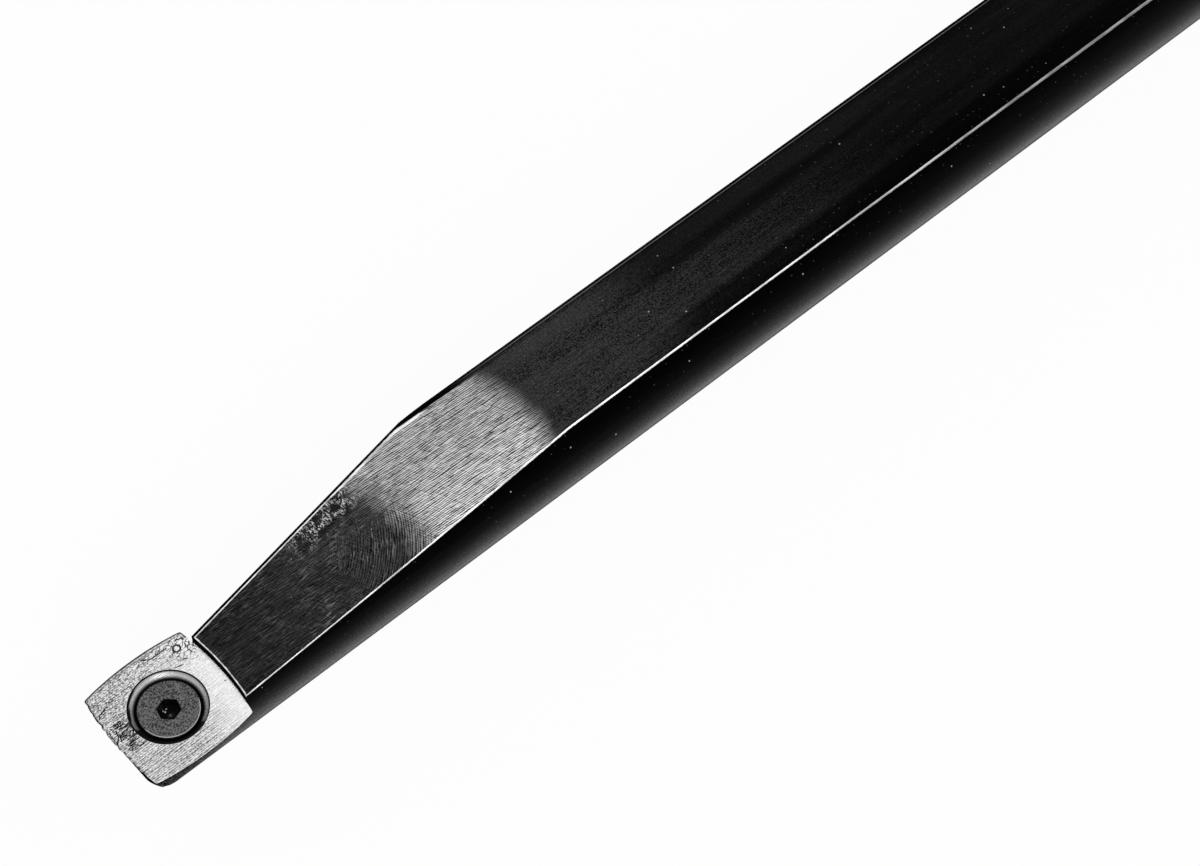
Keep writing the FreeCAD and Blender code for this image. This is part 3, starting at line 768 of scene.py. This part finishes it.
def makeScrewGrid():
    # Polar grid about the screw's own axis: the socket's floor and walls follow a hexagon,
    # apothem / cos(angle from the nearest flat), which becomes a circle over the head's face.
    # Below the cone the radius follows a helix, a triangle wave of (height / pitch - turns).
    s = screwSettings
    angle = math.radians(s["socketTurn"]) + np.linspace(0, 2 * np.pi, s["columns"], endpoint=False)
    local = angle - math.radians(s["socketTurn"])
    flat = (local % (np.pi / 3)) - np.pi / 6
    hexagon = s["socketAcross"] / 2 / np.cos(flat)
    ones = np.ones_like(angle)
    rows = []

    # The last value marks painted shade: the socket's inside, and the chamfer and land round the head's
    # face.
    def addRow(reach, height, distance=1.0, socket=0.0):
        rows.append(np.stack([reach * ones, height * ones, distance * ones, socket * ones]))

    for part in (0.25, 0.6, 0.97):
        addRow(hexagon * part, -s["socketDepth"], 1.0, 1.0)
    for height in (-s["socketDepth"] + 0.04, -1.1, -0.5, -s["socketBreak"]):
        addRow(hexagon, height, 1.0, 1.0)
    addRow(hexagon + s["socketBreak"] * 0.7, -0.015, 1.0, 1.0)
    addRow(hexagon + s["socketBreak"] * 1.3, 0.0, 1.0, 0.5)
    face = s["headRadius"] - s["edgeBreak"]
    start = hexagon + s["socketBreak"] * 1.3
    for part in (0.04, 0.2, 0.45, 0.75):
        addRow(start + part * (face - start), 0.0)
    addRow(face - 0.14, 0.0, 0.3)
    addRow(face - 0.08, 0.0, 0.0)
    addRow(face, -0.006, 0.0, 0.1)
    addRow(face + 0.03, -0.03, 1.0, 1.0)
    addRow(s["headRadius"], -s["edgeBreak"], 1.0, 1.0)
    addRow(s["headRadius"], -s["land"], 1.0, 1.0)
    coneEnd = -(s["sinkRadius"] - s["radius"] - s["drop"])
    for part in (0.5, 1.0):
        reach = s["headRadius"] + part * (s["radius"] - s["headRadius"])
        addRow(reach, -s["land"] + part * (coneEnd + s["land"]), 1.0)
    tip = s["tipBreak"] - s["length"]
    count = int((coneEnd - tip) / s["pitch"] * s["rowsPerTurn"])
    for height in np.linspace(coneEnd, tip, count)[1:]:
        phase = (height / s["pitch"] - local / (2 * np.pi)) % 1.0
        groove = np.clip(1.25 - np.abs(phase - 0.5) * 3.0, 0, 1)
        ease = min(1.0, (coneEnd - height) / 0.7, (height - tip) / 0.5 + 0.3)
        addRow(s["radius"] - s["threadDepth"] * groove * ease, height, 1.0)
    addRow(s["radius"] - s["tipBreak"], -s["length"], 1.0)
    addRow((s["radius"] - s["tipBreak"]) * 0.5, -s["length"], 1.0)
    reach, height, distance, socket = np.moveaxis(np.array(rows), 1, 0)
    # Painted highlight: the head's rim is pale only on the arc round 262 degrees, and the pale line fades
    # out away from it.
    fromFront = np.abs((np.degrees(angle) - 262 + 180) % 360 - 180)
    distance = distance + np.clip((fromFront - 62) / 200, 0, 0.2)
    middle = s["middle"]
    grid = np.stack([reach * np.cos(angle) + middle[0], reach * np.sin(angle) + middle[1],
                     height + middle[2]], axis=-1)
    return grid, {"edgeDistance": distance, "socketAndRimShade": socket}


def makeScrewMaterial():
    s = screwSettings
    material, tree, principled = newMaterial("blackenedScrew", {
        "Specular IOR Level": 0.2, "Roughness": 0.55})
    place = toolCoordinates(tree)
    speckle = noise(place, 5.5, 1.0, 0.75)
    cloud = noise(place, 0.7, 2.0, 0.5)
    tone = scaled(speckle, 0.8, times(cloud, 0.2))
    colour = blend(fade(tone, 0.4, 0.6), grey(s["dark"]), grey(s["light"]))
    # painted highlight along the head's rim on that arc
    wearAndHighlight = wornAndHighlitEdges(place, attribute(tree, "edgeDistance"), 0.1, 0.16, 2.0)
    colour = blend(times(wearAndHighlight, 0.8), colour, grey(0.5))
    # painted shade, near black, in the socket and over the chamfer and land round the head's face
    colour = blend(times(attribute(tree, "socketAndRimShade"), 0.95), colour, grey(0.003))
    spot = addNode(tree, "VectorMath", {0: place, 1: s["dustAt"]},
                   operation="DISTANCE").outputs["Value"]
    swarf = times(specks(place, 0.34, 0.13, 0.5), fall(spot, 0.55, 0.9))
    colour = blend(swarf, colour, grey(0.75))
    feed(principled.inputs["Base Color"], colour)
    feed(principled.inputs["Metallic"], scaled(attribute(tree, "socketAndRimShade"), 0.4, 0.6))
    feed(principled.inputs["Roughness"], scaled(speckle, 0.2, 0.45))
    feed(principled.inputs["Normal"], bump(speckle, 0.02))
    return material


screwGrid, screwValues = makeScrewGrid()
surfaceMesh("clampScrew", screwGrid, makeScrewMaterial(), "clamp_screw", firstCap=True,
            lastCap=True, marks=screwValues, sharp=35.0)

print("ferrule")

ferruleSettings = {
    "start": 214.0, "end": 242.0, "capEnd": 216.5, "bore": 9.575, "inside": 13.5, "outside": 15.0,
    "chamfer": 1.2, "edgeBreak": 0.15, "columns": 160,
    "light": (0.74, 0.52, 0.22, 1), "dark": (0.60, 0.39, 0.15, 1), "rubbed": (0.88, 0.68, 0.36, 1),
}


def makeFerruleGrid():
    # A closed profile carried round the bar's axis: up the cap's face, over its chamfer,
    # along the outside, and back inside. Each corner is broken by two close rows.
    s = ferruleSettings
    fine = s["edgeBreak"]
    profile = [
        (s["start"] + fine, s["bore"], 0.0), (s["start"], s["bore"] + fine, 0.0),
        (s["start"], (s["bore"] + s["outside"]) / 2, 2.0),
        (s["start"], s["outside"] - s["chamfer"] - fine, 0.1),
        (s["start"] + 0.05, s["outside"] - s["chamfer"] + 0.02, 0.0),
        (s["start"] + s["chamfer"] - 0.03, s["outside"] - 0.06, 0.0),
        (s["start"] + s["chamfer"] + fine, s["outside"], 0.1)]
    profile += [(place, s["outside"], 2.0) for place in np.linspace(s["start"] + 2.5, s["end"] - 1.5,
                                                                    12)]
    profile += [
        (s["end"] - fine, s["outside"], 0.05), (s["end"] - 0.02, s["outside"] - 0.1, 0.0),
        (s["end"], s["outside"] - fine - 0.1, 0.1), (s["end"], s["inside"] + fine, 1.0),
        (s["end"] - fine, s["inside"], 1.0), (s["capEnd"] + fine, s["inside"], 1.0),
        (s["capEnd"], s["inside"] - fine, 1.0), (s["capEnd"], s["bore"] + fine, 1.0),
        (s["capEnd"] - fine, s["bore"], 1.0)]
    profile = np.array(profile)
    distance = np.repeat(profile[:, 2:], s["columns"], axis=1)
    return revolved(profile[:, :2], s["columns"])[:, ::-1], {"edgeDistance": distance}


def makeBrassMaterial():
    s = ferruleSettings
    material, tree, principled = newMaterial("turnedBrass", {"Metallic": 1.0, "Roughness": 0.25})
    place = toolCoordinates(tree)
    # turning marks: a noise that changes fast along the axis and hardly at all round it
    rings = noise(place, (9.0, 0.03, 0.03), 4.0, 0.7)
    cloud = noise(place, 0.12, 4.0, 0.6)
    colour = blend(fade(cloud, 0.35, 0.7), s["light"], s["dark"])
    wearAndHighlight = wornAndHighlitEdges(place, attribute(tree, "edgeDistance"), 0.12, 0.08, 1.5)
    colour = blend(times(wearAndHighlight, 0.8), colour, s["rubbed"])
    scratch = brushed(place, 14.0, 1.4)["Scratches"]
    colour = blend(times(scratch, 0.35), colour, (0.9, 0.74, 0.45, 1))
    feed(principled.inputs["Base Color"], colour)
    matt = scaled(rings, 0.2, times(cloud, 0.22))
    feed(principled.inputs["Roughness"], calc("ADD", matt, 0.08))
    feed(principled.inputs["Normal"], bump(rings, 0.012))
    return material


ferruleGrid, ferruleValues = makeFerruleGrid()
surfaceMesh("brassFerrule", ferruleGrid, makeBrassMaterial(), "ferrule",
            ringClosed=True, marks=ferruleValues, sharp=40.0)

print("handle")

handleSettings = {
    "stations": [(242.0, 15.47), (317.0, 17.95), (420.0, 13.96), (494.0, 16.95)],
    "end": 518.0, "buttRound": 11.0, "boreEnd": 299.8, "bore": 9.575,
    "tenonStart": 216.7, "tenon": 13.45, "neckBreak": 0.4, "spacing": 1.6, "columns": 144,
    "light": (0.56, 0.36, 0.19, 1), "dark": (0.33, 0.175, 0.075, 1),
    "ringSpacing": 2.3, "pith": (-21.0, -9.0), "drift": 22.0, "wobble": 3.0,
}


def gripProfile():
    # From station to station the radius runs in two equal arcs that meet half-way, each
    # level at its own station; arc radius = (length squared + rise squared) / (4 rise).
    s = handleSettings
    parts = []
    for (startX, startR), (endX, endR) in zip(s["stations"], s["stations"][1:]):
        length, rise = endX - startX, abs(endR - startR)
        curve = (length ** 2 + rise ** 2) / (4 * rise)
        way = 1 if endR > startR else -1
        x = np.linspace(startX, endX, int(length / s["spacing"]), endpoint=False)
        near = startR + way * (curve - np.sqrt(curve ** 2 - (x - startX) ** 2))
        far = endR - way * (curve - np.sqrt(curve ** 2 - (endX - x) ** 2))
        parts.append(np.stack([x, np.where(x < (startX + endX) / 2, near, far)], axis=-1))
    return np.vstack(parts)


def makeHandleGrid():
    # The bore, the tenon and the neck's face first, then the grip and the rounded butt.
    s = handleSettings
    grip = gripProfile()
    neckX, neckR = s["stations"][0]
    hidden = [(s["boreEnd"], 0.5), (s["boreEnd"], s["bore"] - 0.2), (s["boreEnd"] - 0.2, s["bore"])]
    hidden += [(place, s["bore"]) for place in np.linspace(s["boreEnd"] - 5, s["tenonStart"] + 1, 8)]
    hidden += [(s["tenonStart"] + 0.2, s["bore"]), (s["tenonStart"], s["bore"] + 0.2),
               (s["tenonStart"], s["tenon"] - 0.3), (s["tenonStart"] + 0.3, s["tenon"]),
               (neckX - 0.1, s["tenon"]), (neckX, s["tenon"] + 0.1), (neckX, neckR - s["neckBreak"]),
               (neckX + 0.12, neckR - 0.12)]
    grip[0, 0] += s["neckBreak"]
    buttStart, swell = s["end"] - s["buttRound"], s["stations"][-1][1]
    level = [(place, swell) for place in np.linspace(s["stations"][-1][0], buttStart, 8,
                                                     endpoint=False)]
    turn = np.linspace(0, np.pi / 2, 24)
    butt = np.stack([buttStart + s["buttRound"] * np.sin(turn),
                     swell - s["buttRound"] * (1 - np.cos(turn))], axis=-1)
    face = [(s["end"], place) for place in (4.5, 3.0, 1.5, 0.4)]
    profile = np.vstack([hidden, grip, level, butt, face])
    return revolved(profile, s["columns"])[:, ::-1]


# Wood grain: rings by the distance from a wandering pith line beside the handle. Each ring
# darkens slowly and ends sharply, and pores are short dark lines in its pale part.
def makeWoodGrain():
    s = handleSettings
    group, given, result = newGroup("woodGrain", [
        ("Vector", "Vector", None), ("Spacing", "Float", 2.0)], ["Late", "Pores", "Cloud"])
    _, y, z = split(given["Vector"])
    drift = noise(given["Vector"], (0.006, 0.015, 0.015), 2.0, 0.5)
    drift = times(minus(drift, 0.5), s["drift"])
    wobble = noise(given["Vector"], (0.012, 0.08, 0.08), 3.0, 0.5)
    wobble = times(minus(wobble, 0.5), s["wobble"])
    across = calc("ADD", minus(y, s["pith"][0]), drift)
    up = calc("ADD", minus(z, s["pith"][1]), wobble)
    reach = lengthOf(vector(0.0, across, up))
    phase = calc("FRACT", calc("DIVIDE", reach, given["Spacing"]))
    late = band(phase, 0.25, 0.88, 0.93, 1.0)
    feed(result["Late"], late)
    pores = noise(given["Vector"], (0.35, 6.0, 6.0), 2.0, 0.6)
    early = minus(1.0, late)
    feed(result["Pores"], times(fade(pores, 0.62, 0.72), early))
    feed(result["Cloud"], noise(given["Vector"], (0.01, 0.05, 0.05), 3.0))
    return group


woodGrain = makeWoodGrain()


def makeWoodMaterial():
    s = handleSettings
    material, tree, principled = newMaterial("oiledWood", {
        "Specular IOR Level": 0.4, "Coat Weight": 0.15, "Coat Roughness": 0.25})
    place = toolCoordinates(tree)
    grain = useGroup(woodGrain, {"Vector": place, "Spacing": s["ringSpacing"]})
    colour = blend(times(grain["Late"], 0.75), s["light"], s["dark"])
    colour = blend(fade(grain["Cloud"], 0.35, 0.7, 0.0, 0.35), colour, (0.44, 0.24, 0.1, 1))
    fibre = noise(place, (0.12, 3.5, 3.5), 4.0, 0.65)
    colour = blend(fade(fibre, 0.35, 0.7, 0.0, 0.3), colour, (0.7, 0.49, 0.29, 1))
    colour = blend(times(grain["Pores"], 0.65), colour, (0.14, 0.065, 0.025, 1))
    feed(principled.inputs["Base Color"], colour)
    matt = scaled(fibre, 0.18, 0.33)
    feed(principled.inputs["Roughness"], scaled(grain["Pores"], 0.2, matt))
    height = minus(times(fibre, 0.3), grain["Pores"])
    feed(principled.inputs["Normal"], bump(height, 0.03))
    return material


surfaceMesh("turnedHandle", makeHandleGrid(), makeWoodMaterial(), "handle",
            firstCap=True, lastCap=True, sharp=40.0)

print("floor, light and camera")

stageSettings = {
    "floorSize": 6.0, "floorColour": 0.88, "floorWhite": 0.95, "floorGlint": 0.0, "worldFill": 0.55,
    "keyPlace": (-0.6, -0.8, 1.0), "keySize": 0.9, "keyPower": 7.0,
    "sidePlace": (0.6, -0.7, 1.1), "sideSize": 0.9, "sidePower": 3.0,
}


def whiteRays(tree, glint=1.0):
    # 1 for the rays that show the background, camera and transmission, and glint for glossy
    rays = addNode(tree, "LightPath").outputs
    seen = largest(rays["Is Camera Ray"], rays["Is Transmission Ray"])
    return largest(seen, times(rays["Is Glossy Ray"], glint))


def makeFloor():
    s = stageSettings
    half = s["floorSize"] / 2
    mesh = bpy.data.meshes.new("floor")
    mesh.from_pydata([(-half, -half, 0), (half, -half, 0), (half, half, 0), (-half, half, 0)], [],
                     [(0, 1, 2, 3)])
    floor = bpy.data.objects.new("floor", mesh)
    bpy.context.scene.collection.objects.link(floor)
    material, tree, principled = newMaterial("paleFloor", {
        "Base Color": grey(s["floorColour"]), "Roughness": 0.9, "Specular IOR Level": 0.1})
    glow = addNode(tree, "Emission", {"Color": grey(1.0), "Strength": 1.0}).outputs[0]
    share = times(whiteRays(tree, s["floorGlint"]), s["floorWhite"])
    mix = addNode(tree, "MixShader", {0: share, 1: principled.outputs[0], 2: glow})
    feed(tree.nodes["Material Output"].inputs["Surface"], mix.outputs[0])
    mesh.materials.append(material)


def makeWorld():
    world = bpy.data.worlds.new("paleSurround")
    bpy.context.scene.world = world
    world.use_nodes = True
    tree = world.node_tree
    strength = between(whiteRays(tree), stageSettings["worldFill"], 1.0)
    feed(tree.nodes["Background"].inputs["Color"], grey(1.0))
    feed(tree.nodes["Background"].inputs["Strength"], strength)


def makeLamp(name, place, width, power):
    data = bpy.data.lights.new(name, "AREA")
    data.shape, data.size, data.energy = "DISK", width, power
    lamp = bpy.data.objects.new(name, data)
    lamp.location = place
    lamp.rotation_euler = (Vector((-0.15, 0, 0.02)) - Vector(place)).to_track_quat("-Z", "Y").to_euler()
    bpy.context.scene.collection.objects.link(lamp)


cameraSettings = {
    "place": (-333.552, -168.449, 371.394),      # millimetres, in the model's frame
    "right": (0.7548, -0.65594, 0.00329),
    "up": (0.55905, 0.64591, 0.51987),
    "lens": 100.798,
    "sensor": 36.0,
}


def makeCamera():
    s = cameraSettings
    data = bpy.data.cameras.new("camera")
    data.lens, data.sensor_width = s["lens"], s["sensor"]
    data.clip_start, data.clip_end = 0.01, 20.0
    right = Vector(s["right"]).normalized()
    back = right.cross(Vector(s["up"])).normalized()
    turn = Matrix((right, back.cross(right), back)).transposed().to_4x4()
    camera = bpy.data.objects.new("camera", data)
    camera.matrix_world = Matrix.Translation(Vector(s["place"]) * mm) @ turn
    bpy.context.scene.collection.objects.link(camera)
    bpy.context.scene.camera = camera


makeFloor()
makeWorld()
makeLamp("keyLight", stageSettings["keyPlace"], stageSettings["keySize"], stageSettings["keyPower"])
makeLamp("sideLight", stageSettings["sidePlace"], stageSettings["sideSize"], stageSettings["sidePower"])
makeCamera()
bpy.context.scene.view_settings.view_transform = "Standard"
